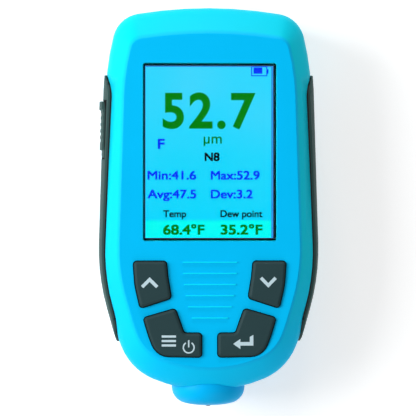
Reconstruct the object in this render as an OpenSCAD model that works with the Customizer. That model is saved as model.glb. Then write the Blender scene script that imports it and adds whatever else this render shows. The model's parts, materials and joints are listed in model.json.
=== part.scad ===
// Hand-held coating thickness gauge, lying on its back with the screen upwards.
// X runs to the right, Y towards the top end, Z out of the screen. Millimetres.

/* [Body] */
// Length of the moulded body, without the probe
body_length = 117.5; // [112:0.5:130]
// Width of the moulded body, without the side grips
body_width = 66; // [62:0.5:74]
// Height of the rim above the table
body_depth = 33; // [32:0.5:38]
// Height of the joint between the front and rear shells
joint_height = 15; // [13:0.5:16]
// Wall thickness of both shells
wall = 2.2; // [1.8:0.1:2.6]
// Radius of the two top corners
top_corner_r = 9.3; // [7:0.1:12]
// Radius of the two lower corners
low_corner_r = 18; // [14:0.5:22]
// Radius of the rounding towards the back
back_r = 8; // [5:0.5:9]

/* [Face] */
// Distance of the rim's crest from the outline, at the sides
rim_inset = 5.7; // [5:0.1:7]
// Depth of the face below the rim's crest
face_dip = 0.7; // [0.3:0.1:1.2]
// Width of the slope from the crest down to the face
dip_slope = 3.2; // [2:0.1:4]
// Width of the moulded lines between the keys
line_w = 0.35; // [0.2:0.05:0.8]
// Height of the moulded lines
line_h = 0.3; // [0.2:0.1:0.5]
// Number of moulded lines
line_count = 6; // [3:1:6]

/* [Display] */
// Width of the display window
window_w = 40.8; // [36:0.2:41.4]
// Length of the display window
window_l = 54.2; // [48:0.2:54.6]
// Distance of the window's middle above the middle of the face
window_y = 14.5; // [13:0.1:15]
// Thickness of the clear lens
lens_t = 1; // [0.8:0.1:1.3]

/* [Keys] */
// Height of the key tops above the face
key_height = 1.1; // [0.8:0.1:1.6]
// Gap between each key and its opening
key_gap = 0.3; // [0.2:0.05:0.4]
// Travel of each key
key_travel = 0.8; // [0.5:0.1:0.9]
// Rounding of the key corners
key_corner_r = 1; // [0.6:0.1:1.2]

/* [Grips] */
// How far the side grips stand out from the body
grip_proud = 0.8; // [0.5:0.1:1.2]
// Gap around each grip in its pocket
grip_gap = 0.5; // [0.2:0.1:0.6]
// Rounding of the top end of a grip, seen from the side
grip_r = 7; // [5:0.5:9]

/* [Port cover] */
// Length of the port cover along the body
cover_l = 17.2; // [15:0.2:18]
// Width of the port cover
cover_w = 8.8; // [7:0.2:9]
// Gap around the port cover
cover_gap = 0.45; // [0.2:0.05:0.5]

/* [Batteries] */
// Diameter of one cell
cell_d = 14.5; // [13.5:0.1:14.5]
// Length of one cell
cell_l = 50.5; // [48:0.5:50.5]
// Gap between the battery door and its opening
door_gap = 0.2; // [0.15:0.05:0.3]
// How far the battery door lies above the table
door_recess = 0.3; // [0.2:0.05:0.4]

/* [Probe] */
// Diameter of the probe nose
nose_d = 22.6; // [21:0.1:23.4]
// How far the nose stands out from the body
nose_out = 5.1; // [3:0.1:8]
// Height of the probe axis above the table
probe_height = 16.5; // [16:0.1:17]
// Diameter of the spring-loaded plunger
plunger_d = 9; // [8:0.1:10]
// Radial running clearance of the plunger in the nose
plunger_gap = 0.08; // [0.05:0.01:0.1]
// Travel of the plunger
plunger_travel = 2; // [1:0.1:2.5]
// How far the tip stands out from the nose
tip_out = 0.4; // [0.2:0.1:1]

/* [Hidden] */
$fn = 48;

shell_blue = [0.0, 0.62, 0.93];
grip_grey = [0.17, 0.20, 0.20];
eps = 0.01;

// The part's middle along Y is the middle of body, nose and tip together
total_length = body_length + nose_out + tip_out;
top_y = total_length / 2;
low_y = top_y - body_length;
nose_y = low_y - nose_out;
middle_y = top_y - body_length / 2;
// Window, keys and board are placed from here, so that they keep their distance from the low end
face_y = low_y + 58.5;

// Outline: a chain of tangent arcs from the top centre down the right side.
// Each entry is the arc's radius, the angle of its normal at the end, a straight run, and its steps.
crown_end = 80.6;
shoulder_end = 14;
shoulder_r = 78;
flank_end = 1.7;
waist_r = 66;
waist_end = -15.6;
hip_run = 7.3;
hip_r = 50;
hip_end = -22;
base_start = -67;

// Height that each arc of radius r takes up between two normals
function drop(r, from, to) = r * (sin(from) - sin(to));
// Distance that each arc of radius r runs to the right between two normals
function reach(r, from, to) = r * (cos(to) - cos(from));

// The straight flank takes up what is left of the length, and the crown what is left of the width.
flank_fixed = drop(top_corner_r, crown_end, shoulder_end) + drop(shoulder_r, shoulder_end, flank_end)
    + drop(waist_r, flank_end, waist_end) + hip_run * cos(waist_end) + drop(hip_r, waist_end, hip_end)
    + drop(low_corner_r, hip_end, base_start);
shoulder_reach = reach(top_corner_r, crown_end, shoulder_end) + reach(shoulder_r, shoulder_end, flank_end)
    + reach(waist_r, flank_end, 0);
tail_reach = reach(waist_r, 0, waist_end) + hip_run * sin(waist_end) + reach(hip_r, waist_end, hip_end)
    + reach(low_corner_r, hip_end, base_start);
base_r = (body_width / 2 + tail_reach) / cos(base_start);
crown_drop = (1 - sin(crown_end)) / cos(crown_end);
flank_run = (body_length - flank_fixed - base_r * (1 + sin(base_start))
    - (body_width / 2 - shoulder_reach) * crown_drop) / (cos(flank_end) - sin(flank_end) * crown_drop);
crown_r = (body_width / 2 - shoulder_reach - flank_run * sin(flank_end)) / cos(crown_end);

outline_chain = [
    [crown_r, crown_end, 0, 3], [top_corner_r, shoulder_end, 0, 7], [shoulder_r, flank_end, flank_run, 3],
    [waist_r, waist_end, hip_run, 5], [hip_r, hip_end, 0, 2], [low_corner_r, base_start, 0, 7],
    [base_r, -90, 0, 4]
];

function chain_points(chain, i, p, a, inset) = i == len(chain) ? [] :
    let (
        r = chain[i][0] - inset,
        to = chain[i][1],
        steps = chain[i][3],
        c = p - r * [cos(a), sin(a)],
        arc = [for (k = [1 : steps]) c + r * [cos(a + (to - a) * k / steps), sin(a + (to - a) * k / steps)]],
        run_end = arc[steps - 1] + chain[i][2] * [sin(to), -cos(to)]
    )
    concat(arc, chain[i][2] > 0 ? [run_end] : [], chain_points(chain, i + 1, run_end, to, inset));

// The body's outline, moved inwards by inset
function outline(inset) =
    let (right = concat([[0, top_y - inset]], chain_points(outline_chain, 0, [0, top_y - inset], 90, inset)),
        n = len(right))
    concat(right, [for (i = [n - 2 : -1 : 1]) [-right[i][0], right[i][1]]]);

// A ring of the body's skin at one height, set back further at its top and low ends
function ring(z, inset, top_back = 0, low_back = 0) =
    let (y0 = low_y + inset, y1 = top_y - inset, squeeze = (y1 - y0 - top_back - low_back) / (y1 - y0))
    [for (p = outline(inset)) [p[0], y0 + low_back + (p[1] - y0) * squeeze, z]];

// A closed skin through rings of equal length, with flat caps at both ends
module loft(rings) {
    n = len(rings[0]);
    last = len(rings) - 1;
    sides = [for (k = [0 : last - 1]) for (i = [0 : n - 1]) let (j = (i + 1) % n)
        each [[k * n + i, k * n + j, (k + 1) * n + j], [k * n + i, (k + 1) * n + j, (k + 1) * n + i]]];
    polyhedron(
        points = [for (r = rings) each r],
        faces = concat([[for (i = [n - 1 : -1 : 0]) i]], sides, [[for (i = [0 : n - 1]) last * n + i]])
    );
}

// Front skin: the rim's section up to its crest, as [height below the crest, share of the rim inset]
rim_section = [[10.5, 0], [8.5, 0.035], [6.7, 0.13], [5.2, 0.28], [2.6, 0.64], [0.25, 0.955], [0, 1]];
rim_top_back = 3.1;
rim_low_back = 2.1;
face_z = body_depth - face_dip;
ceiling_z = face_z - wall;

function rim_ring(level) = ring(body_depth - level[0], rim_inset * level[1],
    rim_top_back * level[1], rim_low_back * level[1]);

// Rear skin: a quarter round from the sides into the flat back
back_steps = 5;
function back_ring(k, r) = let (a = 90 * k / back_steps) ring(r * (1 - sin(a)), r * (1 - cos(a)));

function front_skin() = concat([ring(joint_height, 0)], [for (level = rim_section) rim_ring(level)]);
function rear_skin() = concat([for (k = [back_steps : -1 : 0]) back_ring(k, back_r)],
    [ring(joint_height, 0)]);

// Inner faces of the two shells
ceiling_inset = rim_inset - 0.5;
inner_turn_z = body_depth - 8.5;
floor_inset = back_r - wall;
floor_turn_z = back_r - 0.5;

// Corners of the two left-hand keys from the middle of the face, each with its share of the rounding
key_rows = [
    [[-23.15, -18.7, 1], [-13.2, -18.7, 1], [-12.8, -23.3, 20], [-11.7, -29.8, 1.2], [-21.05, -32.85, 1],
        [-22.6, -26, 20]],
    [[-20.1, -35.85, 1], [-10.5, -33.05, 1], [-7.85, -40.5, 1.2], [-2.5, -40.5, 1], [-2.5, -47.65, 1],
        [-16.1, -47.4, 5.5], [-18.4, -41.4, 12]]
];
dome_spots = [[-17, -24.5], [-12.2, -41.5]];
flange_w = 0.8;
flange_t = 1.1;
stem_r = 1.6;
top_bevel = 0.35;
key_top_z = face_z + key_height;
flange_z = ceiling_z - flange_t - 0.05;

// Inner stack, from the screen inwards
display_w = window_w + 3;
display_l = window_l + 4.7;
display_y = window_y - 1.6;
board_w = body_width - 13;
board_t = 1.6;
board_z = body_depth - 9.4;
board_top_z = board_z + board_t;
board_post_x = body_width / 2 - 11.5;
board_post_y = [33, -25];
mat_t = 2.4;
mat_top_y = display_y - display_l / 2 - 0.5;
snap_r = 3;
dome_h = 0.45;
buzzer_r = 3;
buzzer_h = 3.5;
chip_w = 12;
chip_t = 1.4;
chip_y = -34;
ledge_w = 0.6;
stem_z = board_top_z + dome_h + key_travel + 0.15;

// Screws: two above the screen, two beside the lower keys
screw_top_x = body_width / 2 - 12;
screw_top_y = top_y - 12.4;
screw_low_x = body_width / 2 - 8.2;
screw_low_y = low_y + 22.1;
screw_spots = [[screw_top_x, screw_top_y], [-screw_top_x, screw_top_y],
    [screw_low_x, screw_low_y], [-screw_low_x, screw_low_y]];
screw_r = 1.25;
screw_head_r = 2.4;
screw_head_h = 1.8;
boss_r = 3.7;
head_seat_z = 6;
screw_tip_z = joint_height + 7;

// Gasket in the joint
seal_t = 0.8;
seal_inset = 1.05;
seal_w = 0.7;

// Side grips
grip_depth = 0.6;
grip_front_z = body_depth - 5.3;
grip_back_z = grip_front_z - 20.2;
grip_tail_r = 8.9;
grip_tail_z = grip_front_z - grip_tail_r - 1.3;
grip_top_y = middle_y + 38.15;
grip_low_y = middle_y - 43.95;

// Port cover, on the left flank
cover_y = middle_y + 21.2;
socket_l = 8;
socket_h = 3.1;
socket_depth = 7.5;
port_gap = 0.4;
cover_z = board_z - socket_h / 2;
flank_low_y = low_y + base_r * (1 + sin(base_start)) + drop(low_corner_r, hip_end, base_start)
    + drop(hip_r, waist_end, hip_end) + hip_run * cos(waist_end) + drop(waist_r, flank_end, waist_end);
flank_low_x = body_width / 2 - reach(waist_r, flank_end, 0);
cover_x = -flank_low_x + (cover_y - flank_low_y) * tan(flank_end);
cover_seat = 1.1;
cover_lip = 2.4;
cover_proud = grip_proud + 0.6;
lip_stand = 0.5;
cover_tilt = flank_end;
seat_reach = 5;
seat_gap = 0.2;
port_depth = 7;
plug_l = 0.8;
hinge_r = (cover_seat + grip_proud) / 2;
hinge_rise = 1.5;
rib_count = 5;
rib_pitch = 2;
rib_w = 0.9;
rib_depth = 0.3;
// How far the rim's section lies inwards at the front edge of the cover
cover_edge = lookup(cover_z + cover_w / 2,
    [for (level = rim_section) [body_depth - level[0], rim_inset * level[1]]]);

// Battery bay and door
cell_gap = 0.3;
bay_w = 2 * cell_d + 3 * cell_gap;
contact_room = 3;
bay_l = cell_l + 2 * contact_room;
bay_top_y = middle_y + 37;
bay_low_y = bay_top_y - bay_l;
bay_wall = 1.4;
cell_z = wall + cell_gap + cell_d / 2;
bay_roof_z = cell_z + cell_d / 2 + cell_gap;
door_w = bay_w + 2;
door_top_y = bay_top_y + 1;
tongue = 0.8;
tongue_z = 0.8;
tongue_t = 0.7;
deck_t = 1.2;
deck_z = wall + door_gap;
deck_w = door_w + 4;

// Probe
nose_r = nose_d / 2;
sleeve_gap = 0.1;
foot_t = 4.2;
foot_y = nose_y + foot_t;
chamber_r = nose_r - 3.8;
chamber_l = 9.5;
chamber_top_y = foot_y + chamber_l;
cap_t = 2;
plunger_r = plunger_d / 2;
collar_r = chamber_r - 0.5;
collar_t = 2;
flange_r = nose_r + 1.2;
flange_y = low_y + wall + 4.2;
sleeve_flange_t = 2;
coil_r = plunger_r - 0.3;
spring_wire = 0.9;
spring_turns = 4;
spring_sides = 6;
spring_rings = 12 * spring_turns;
tip_r = 1.4;

// The nose ends in a flat dome that turns into the side over a corner arc
dome_r = 35;
bore_a = asin((plunger_r + plunger_gap) / dome_r);
dome_a = 12;
corner_r = (nose_r - dome_r * sin(dome_a)) / (1 - sin(dome_a));
function dome_point(a) = [dome_r * sin(a), dome_r * (1 - cos(a))];
function corner_point(a) = dome_point(dome_a)
    + corner_r * [sin(a) - sin(dome_a), cos(dome_a) - cos(a)];
groove_t = 1.25;
groove_w = 1.3;
groove_y = low_y - nose_y + 2.6;

function unit(v) = v / norm(v);

// Points of the arc of radius r that rounds the corner p between its neighbours a and b
function corner_arc(a, p, b, r) =
    let (
        u = unit(a - p),
        v = unit(b - p),
        half = acos(u * v) / 2,
        c = p + unit(u + v) * r / sin(half),
        from = p + u * r / tan(half) - c,
        to = p + v * r / tan(half) - c,
        start = atan2(from[1], from[0]),
        turn = (atan2(to[1], to[0]) - start + 540) % 360 - 180,
        steps = max(3, ceil(abs(turn) / 15))
    )
    [for (k = [0 : steps]) c + r * [cos(start + turn * k / steps), sin(start + turn * k / steps)]];

function flat_point(p) = [p[0], p[1]];

function rounded(corners) =
    let (n = len(corners))
    [for (i = [0 : n - 1]) each corner_arc(flat_point(corners[(i + n - 1) % n]), flat_point(corners[i]),
        flat_point(corners[(i + 1) % n]), key_corner_r * corners[i][2])];

module on_probe() {
    translate([0, 0, probe_height]) rotate([-90, 0, 0]) children();
}

// Outline of one left-hand key, grown by a distance
module key_outline(row, grow = 0) {
    offset(r = grow, $fn = 24) translate([0, face_y]) polygon(rounded(key_rows[row]));
}

module key_openings() {
    for (side = [0, 1]) mirror([side, 0]) for (row = [0, 1])
        translate([0, 0, ceiling_z - 1]) linear_extrude(5) key_outline(row, key_gap);
}

// A key cap with a bevelled top, a flange that keeps it in the shell, and a stem over its dome
module key(row) {
    straight = key_top_z - flange_z - flange_t + eps - top_bevel;
    translate([0, 0, flange_z + flange_t - eps]) minkowski() {
        linear_extrude(straight) offset(delta = -top_bevel) key_outline(row);
        cylinder(h = top_bevel, r1 = top_bevel, r2 = 0, $fn = 12);
    }
    translate([0, 0, flange_z]) linear_extrude(flange_t) key_outline(row, flange_w);
    translate([dome_spots[row][0], face_y + dome_spots[row][1], stem_z])
        cylinder(h = flange_z - stem_z + eps, r = stem_r);
}

module key_up() { color(grip_grey) key(0); }
module key_down() { color(grip_grey) mirror([1, 0, 0]) key(0); }
module key_menu() { color(grip_grey) key(1); }
module key_enter() { color(grip_grey) mirror([1, 0, 0]) key(1); }

module rounded_plate(w, l, t, r) {
    linear_extrude(t) offset(r = r, $fn = 24) square([w - 2 * r, l - 2 * r], center = true);
}

// Moulded lines between the keys: their ends lie on an ellipse
module face_lines() {
    for (i = [0 : line_count - 1]) {
        half = 8.25 * sqrt(1 - pow(i / 6.7, 2));
        translate([-half, face_y - 18.95 - 3.38 * i - line_w / 2, face_z - eps])
            cube([2 * half, line_w, line_h + eps]);
    }
}

module nose_hole() {
    on_probe() translate([0, 0, nose_y - 1]) cylinder(h = flange_y - nose_y + 1, r = nose_r + sleeve_gap);
}

// Collar inside the wall that carries the nose
module nose_collar() {
    on_probe() translate([0, 0, low_y]) cylinder(h = flange_y - sleeve_gap - low_y, r = flange_r + 0.6);
}

// The part of the probe behind the wall, with room around it
module flange_room() {
    on_probe() translate([0, 0, flange_y - sleeve_gap])
        cylinder(h = sleeve_flange_t + 2 * sleeve_gap, r = flange_r + sleeve_gap);
}

module screw_posts(from_z, to_z, r) {
    for (p = screw_spots) translate([p[0], p[1], from_z]) cylinder(h = to_z - from_z, r = r);
}

// Places a piece on the flank at the middle of the port cover, with X into the body and Y along the flank
module on_cover() {
    translate([cover_x, cover_y, cover_z]) rotate([0, 0, -cover_tilt]) children();
}

// Seat of the port cover: a shallow pocket in the flank, and the hole for the plug behind it
module cover_seat_cut(grow) {
    on_cover() {
        translate([-seat_reach, -cover_l / 2 - grow, -cover_w / 2 - grow])
            cube([seat_reach + cover_seat + seat_gap, cover_l + 2 * grow, cover_w + 2 * grow]);
        translate([-seat_reach, -socket_l / 2 - port_gap, -socket_h / 2 - port_gap])
            cube([seat_reach + port_depth, socket_l + 2 * port_gap, socket_h + 2 * port_gap]);
    }
}

module front_shell() {
    color(shell_blue) difference() {
        union() {
            loft(concat(
                [ring(ceiling_z, ceiling_inset, rim_top_back, rim_low_back), ring(inner_turn_z, wall),
                    ring(joint_height, wall)],
                front_skin(),
                [ring(face_z, rim_inset + dip_slope, rim_top_back + 1, rim_low_back - 1)]
            ));
            face_lines();
            intersection() {
                union() {
                    screw_posts(joint_height, ceiling_z + wall / 2, boss_r);
                    nose_collar();
                }
                loft([ring(joint_height, wall / 2), ring(inner_turn_z, wall / 2),
                    ring(ceiling_z + wall / 2, ceiling_inset, rim_top_back, rim_low_back)]);
            }
        }
        translate([0, face_y + window_y, face_z - lens_t - 0.2])
            rounded_plate(window_w, window_l, 3, 0.9);
        translate([0, face_y + window_y, ceiling_z - 1])
            rounded_plate(window_w - 2 * ledge_w, window_l - 2 * ledge_w, 5, 0.5);
        key_openings();
        nose_hole();
        flange_room();
        cover_seat_cut(cover_gap);
        grip_pockets();
        screw_posts(joint_height - 1, screw_tip_z + 0.5, screw_r - 0.1);
    }
}

module rear_shell() {
    color(shell_blue) difference() {
        union() {
            loft(concat(
                rear_skin(),
                [ring(joint_height, wall), ring(floor_turn_z, wall), ring(wall, floor_inset + wall)]
            ));
            intersection() {
                union() {
                    screw_posts(0, joint_height, boss_r);
                    nose_collar();
                    translate([-deck_w / 2, low_y, wall / 2])
                        cube([deck_w, door_top_y - low_y + 2, deck_z + deck_t - wall / 2]);
                }
                loft([ring(wall / 2, floor_inset + wall), ring(floor_turn_z, wall / 2),
                    ring(joint_height, wall / 2)]);
            }
            translate([-bay_w / 2 - bay_wall, bay_low_y - bay_wall, deck_z])
                cube([bay_w + 2 * bay_wall, bay_l + 2 * bay_wall, bay_roof_z + bay_wall - deck_z]);
            for (x = [-board_post_x, board_post_x], y = board_post_y)
                translate([x, face_y + y, wall / 2]) cylinder(h = board_z - wall / 2, r = 2);
        }
        translate([-bay_w / 2, bay_low_y, -1]) cube([bay_w, bay_l, bay_roof_z + 1]);
        door_path();
        nose_hole();
        flange_room();
        screw_posts(-1, head_seat_z, screw_head_r + 0.3);
        screw_posts(-1, joint_height + 1, screw_r + 0.25);
        translate([0, 0, joint_height - seal_t]) seal_ring(0.05, seal_t + 1);
        grip_pockets();
    }
}

// The opening that the battery door slides in, open at the low end
module door_path() {
    translate([-door_w / 2 - door_gap, low_y - 1, -1])
        cube([door_w + 2 * door_gap, door_top_y - low_y + 1 + door_gap, deck_z + 1]);
    translate([-door_w / 2 - tongue - door_gap, low_y - 1, tongue_z - door_gap])
        cube([door_w + 2 * tongue + 2 * door_gap, door_top_y - low_y + 1 - 3, tongue_t + 2 * door_gap]);
}

module battery_door() {
    color(grip_grey) difference() {
        intersection() {
            union() {
                translate([-door_w / 2, low_y, door_recess])
                    cube([door_w, door_top_y - low_y, wall - door_recess]);
                translate([-door_w / 2 - tongue, low_y, tongue_z])
                    cube([door_w + 2 * tongue, door_top_y - low_y - 4, tongue_t]);
            }
            loft(rear_skin());
        }
        for (i = [0 : 5]) translate([-8, door_top_y - 8 - 2.4 * i, -1]) cube([16, 1.1, 1.5 + door_recess]);
    }
}

// The gasket lies between two offsets of the outline, cut open where the probe leaves
module seal_ring(grow, t) {
    difference() {
        linear_extrude(t) polygon(outline(seal_inset - grow));
        translate([0, 0, -1]) linear_extrude(t + 2) polygon(outline(seal_inset + seal_w + grow));
    }
}

module case_seal() {
    color([0.08, 0.08, 0.08]) difference() {
        translate([0, 0, joint_height - seal_t]) seal_ring(0, seal_t);
        nose_hole();
    }
}

// A grip is a skin of even thickness over the flank, with a blade-shaped outline seen from the side
grip_levels = concat(
    [for (k = [back_steps : -1 : 1]) let (a = 90 * k / back_steps)
        [back_r * (1 - sin(a)), back_r * (1 - cos(a)), 0]],
    [[back_r, 0, 0], [joint_height, 0, 0]],
    [for (level = rim_section) [body_depth - level[0], rim_inset * level[1], level[1]]]
);

// The whole body's skin, moved inwards by inset
module body_skin(inset) {
    loft([for (g = grip_levels) ring(g[0], g[1] + inset, rim_top_back * g[2], rim_low_back * g[2])]);
}

module grip_blade(grow) {
    rotate([90, 0, 90]) linear_extrude(body_width) hull() {
        for (z = [grip_front_z - grip_r, grip_back_z + grip_r])
            translate([grip_top_y - grip_r, z]) circle(r = grip_r + grow);
        translate([grip_low_y + grip_tail_r, grip_tail_z]) circle(r = grip_tail_r + grow);
    }
}

// Pockets for both grips, cut into the skin of the shells
module grip_pockets() {
    for (side = [0, 1]) mirror([side, 0, 0]) difference() {
        grip_blade(grip_gap);
        body_skin(grip_depth);
    }
}

module grip_half() {
    difference() {
        intersection() {
            body_skin(-grip_proud);
            grip_blade(0);
        }
        body_skin(grip_depth);
    }
}

module right_grip() {
    color(grip_grey) grip_half();
}

module left_grip() {
    color(grip_grey) difference() {
        mirror([1, 0, 0]) grip_half();
        cover_seat_cut(cover_gap);
    }
}

// Section of the port cover: the rim's section, moved outwards
function cover_section(out) = concat(
    [[cover_seat, -cover_w / 2], [-out, -cover_w / 2]],
    [for (level = rim_section) let (z = body_depth - level[0] - cover_z)
        if (z < cover_w / 2) [rim_inset * level[1] - out, z]],
    [[cover_edge - out, cover_w / 2], [cover_seat, cover_w / 2]]
);

// A bar of that section, between two places along the cover
module cover_bar(from, to, out) {
    translate([0, to, 0]) rotate([90, 0, 0]) linear_extrude(to - from) polygon(cover_section(out));
}

// Rubber flap over the port. It follows the skin of the grip, with small ribs, a finger lip at its top
// end, and a round low end that it turns on.
module port_cover() {
    lip_y = cover_l / 2 - cover_lip;
    axis = [cover_seat - hinge_r, hinge_r - cover_l / 2];
    flap_low = axis[1] + hinge_rise;
    color(grip_grey) on_cover() {
        cover_bar(flap_low, cover_l / 2, cover_proud - rib_depth);
        for (i = [0 : rib_count])
            cover_bar(lip_y - rib_pitch * i - rib_w, lip_y - rib_pitch * i, cover_proud);
        cover_bar(flap_low, lip_y - rib_pitch * rib_count - rib_w / 2, cover_proud);
        cover_bar(lip_y - eps, cover_l / 2, cover_proud + lip_stand);
        intersection() {
            translate([axis[0], axis[1], -cover_w / 2]) {
                cylinder(h = cover_w, r = hinge_r);
                translate([-hinge_r, 0, 0]) cube([2 * hinge_r, hinge_rise + eps, cover_w]);
            }
            cover_bar(-cover_l, cover_l, grip_proud + eps);
        }
        translate([cover_seat - eps, -socket_l / 2, -socket_h / 2]) cube([plug_l, socket_l, socket_h]);
    }
}

module usb_socket() {
    color([0.75, 0.76, 0.78]) translate([cover_x + wall + 0.3, cover_y - socket_l / 2, board_z - socket_h])
        difference() {
            cube([socket_depth, socket_l, socket_h]);
            translate([-1, 0.5, 0.5]) cube([socket_depth - 1, socket_l - 1, socket_h - 1]);
        }
}

module display_lens() {
    color([0.1, 0.55, 0.7, 0.6]) translate([0, face_y + window_y, face_z - lens_t - 0.2])
        rounded_plate(window_w - 0.4, window_l - 0.4, lens_t, 0.7);
}

// Display in its frame, with the glass reaching up through the opening to the lens
module display_module() {
    color([0.35, 0.4, 0.42]) {
        translate([0, face_y + display_y, board_top_z])
            rounded_plate(display_w, display_l, ceiling_z - board_top_z - 0.1, 0.6);
        translate([0, face_y + window_y, board_top_z])
            rounded_plate(window_w - 2 * ledge_w - 0.4, window_l - 2 * ledge_w - 0.4,
                face_z - lens_t - 0.3 - board_top_z, 0.4);
    }
}

module main_board() {
    color([0.05, 0.35, 0.18]) translate([0, face_y, board_z]) linear_extrude(board_t)
        polygon([[-board_w / 2, 41], [board_w / 2, 41], [board_w / 2, -30], [19, -33], [15, -46],
            [-15, -46], [-19, -33], [-board_w / 2, -30]]);
}

module keypad_mat() {
    color([0.25, 0.27, 0.28]) translate([0, face_y, board_top_z]) difference() {
        linear_extrude(mat_t) polygon([[-22.5, mat_top_y], [22.5, mat_top_y], [22.5, -30], [18.5, -33],
            [14.5, -45.5], [-14.5, -45.5], [-18.5, -33], [-22.5, -30]]);
        for (x = [-1, 1], p = dome_spots)
            translate([x * p[0], p[1], -1]) cylinder(h = mat_t + 2, r = snap_r + 0.6);
    }
}

module snap_domes() {
    color([0.8, 0.8, 0.78]) for (x = [-1, 1], p = dome_spots)
        translate([x * p[0], face_y + p[1], board_top_z])
            cylinder(h = dome_h, r1 = snap_r, r2 = 0.6 * snap_r);
}

module cell(side, turned) {
    translate([side * (cell_d + cell_gap) / 2, bay_low_y + contact_room, cell_z])
        translate([0, turned ? cell_l : 0, 0]) rotate([turned ? 90 : -90, 0, 0]) {
            cylinder(h = cell_l - 1.2, r = cell_d / 2);
            translate([0, 0, cell_l - 1.2 - eps]) cylinder(h = 1.2 + eps, r = 2.7);
        }
}

module battery_left() { color([0.75, 0.6, 0.25]) cell(-1, true); }
module battery_right() { color([0.75, 0.6, 0.25]) cell(1, false); }

// Bent leaf contacts at both ends of the bay
module battery_contacts() {
    leaf_w = 7;
    leaf_t = 0.4;
    leaf_out = contact_room - 0.05;
    color([0.82, 0.8, 0.72]) for (x = [-1, 1], end = [0, 1])
        translate([x * (cell_d + cell_gap) / 2, end * bay_top_y + (1 - end) * bay_low_y, cell_z])
            mirror([0, end, 0]) rotate([0, -90, 0]) translate([0, 0, -leaf_w / 2]) linear_extrude(leaf_w)
                polygon([[-6, 0], [6, 0], [6, leaf_t], [0.6, leaf_out], [-0.6, leaf_out],
                    [-4.4, leaf_t], [-6, leaf_t]]);
}

// Probe nose: a turned sleeve with a domed end, a flange behind the wall and a chamber for the plunger
module probe_sleeve() {
    flange_low = flange_y - nose_y;
    color(shell_blue) on_probe() translate([0, 0, nose_y]) rotate_extrude()
        polygon(concat(
            [for (k = [0 : 3]) dome_point(bore_a + (dome_a - bore_a) * k / 3)],
            [for (k = [1 : 7]) corner_point(dome_a + (90 - dome_a) * k / 7)],
            [[nose_r, groove_y], [nose_r - groove_t, groove_y], [nose_r - groove_t, groove_y + groove_w],
                [nose_r, groove_y + groove_w]],
            [[nose_r, flange_low], [flange_r, flange_low], [flange_r, flange_low + sleeve_flange_t],
                [nose_r - 1, flange_low + sleeve_flange_t], [nose_r - 1, foot_t + chamber_l],
                [chamber_r, foot_t + chamber_l], [chamber_r, foot_t], [plunger_r + plunger_gap, foot_t]]
        ));
}

module probe_plunger() {
    color([0.78, 0.78, 0.8]) on_probe() translate([0, 0, nose_y]) difference() {
        rotate_extrude() polygon([[0, 0.05], [plunger_r - 0.4, 0.3], [plunger_r, 0.7], [plunger_r, foot_t],
            [collar_r, foot_t], [collar_r, foot_t + collar_t], [2, foot_t + collar_t],
            [2, chamber_l + foot_t - plunger_travel - 0.3], [0, chamber_l + foot_t - plunger_travel - 0.3]]);
        translate([0, 0, -1]) cylinder(h = 4, r = tip_r);
    }
}

module probe_tip() {
    color([0.25, 0.25, 0.28]) on_probe() translate([0, 0, nose_y]) rotate_extrude()
        polygon(concat([[0, 3], [tip_r, 3]],
            [for (k = [0 : 6]) [tip_r * cos(15 * k), tip_r - tip_out - tip_r * sin(15 * k)]]));
}

module sensor_coil() {
    color([0.75, 0.4, 0.15]) on_probe() translate([0, 0, foot_y + collar_t]) difference() {
        cylinder(h = chamber_l - collar_t - plunger_travel - 0.6, r = coil_r);
        translate([0, 0, -1]) cylinder(h = chamber_l, r = 2.02);
    }
}

// Coil spring between the plunger's collar and the cap, swept along a helix
module probe_spring() {
    mid_r = (coil_r + collar_r) / 2;
    rise = chamber_l - collar_t - spring_wire - 0.1;
    wire_r = spring_wire / 2;
    points = [for (k = [0 : spring_rings]) let (a = 360 * spring_turns * k / spring_rings)
        for (s = [0 : spring_sides - 1]) let (b = 360 * s / spring_sides, r = mid_r + wire_r * cos(b))
            [r * cos(a), r * sin(a), rise * k / spring_rings + wire_r * sin(b)]];
    sides = [for (k = [0 : spring_rings - 1]) for (s = [0 : spring_sides - 1])
        let (t = (s + 1) % spring_sides)
        each [[k * spring_sides + s, (k + 1) * spring_sides + t, k * spring_sides + t],
            [k * spring_sides + s, (k + 1) * spring_sides + s, (k + 1) * spring_sides + t]]];
    color([0.7, 0.7, 0.72]) on_probe() translate([0, 0, foot_y + collar_t + wire_r + 0.05])
        polyhedron(points = points, faces = concat([[for (s = [0 : spring_sides - 1]) s]], sides,
            [[for (s = [spring_sides - 1 : -1 : 0]) spring_rings * spring_sides + s]]));
}

module probe_cap() {
    color([0.12, 0.12, 0.13]) on_probe() translate([0, 0, chamber_top_y])
        cylinder(h = cap_t, r = nose_r - 1.4);
}

module probe_seal() {
    color([0.08, 0.08, 0.08]) on_probe() translate([0, 0, nose_y + groove_y]) rotate_extrude()
        translate([nose_r - groove_w / 2 + 0.03, groove_w / 2]) circle(r = groove_w / 2 - 0.05);
}

module case_screws() {
    color([0.3, 0.3, 0.32]) for (p = screw_spots) translate([p[0], p[1], 0]) difference() {
        union() {
            translate([0, 0, head_seat_z - screw_head_h]) cylinder(h = screw_head_h, r = screw_head_r);
            translate([0, 0, head_seat_z - eps]) cylinder(h = screw_tip_z - head_seat_z, r = screw_r - 0.2);
        }
        translate([0, 0, head_seat_z - screw_head_h - 1]) cylinder(h = 2, r = 1.2, $fn = 6);
    }
}

module buzzer() {
    color([0.1, 0.1, 0.1])
        translate([chip_w / 2 + buzzer_r + 3, face_y + chip_y + chip_w / 2, board_z - buzzer_h])
            cylinder(h = buzzer_h, r = buzzer_r);
}

module processor() {
    color([0.12, 0.12, 0.13]) translate([-chip_w / 2, face_y + chip_y, board_z - chip_t])
        cube([chip_w, chip_w, chip_t]);
}

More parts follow.
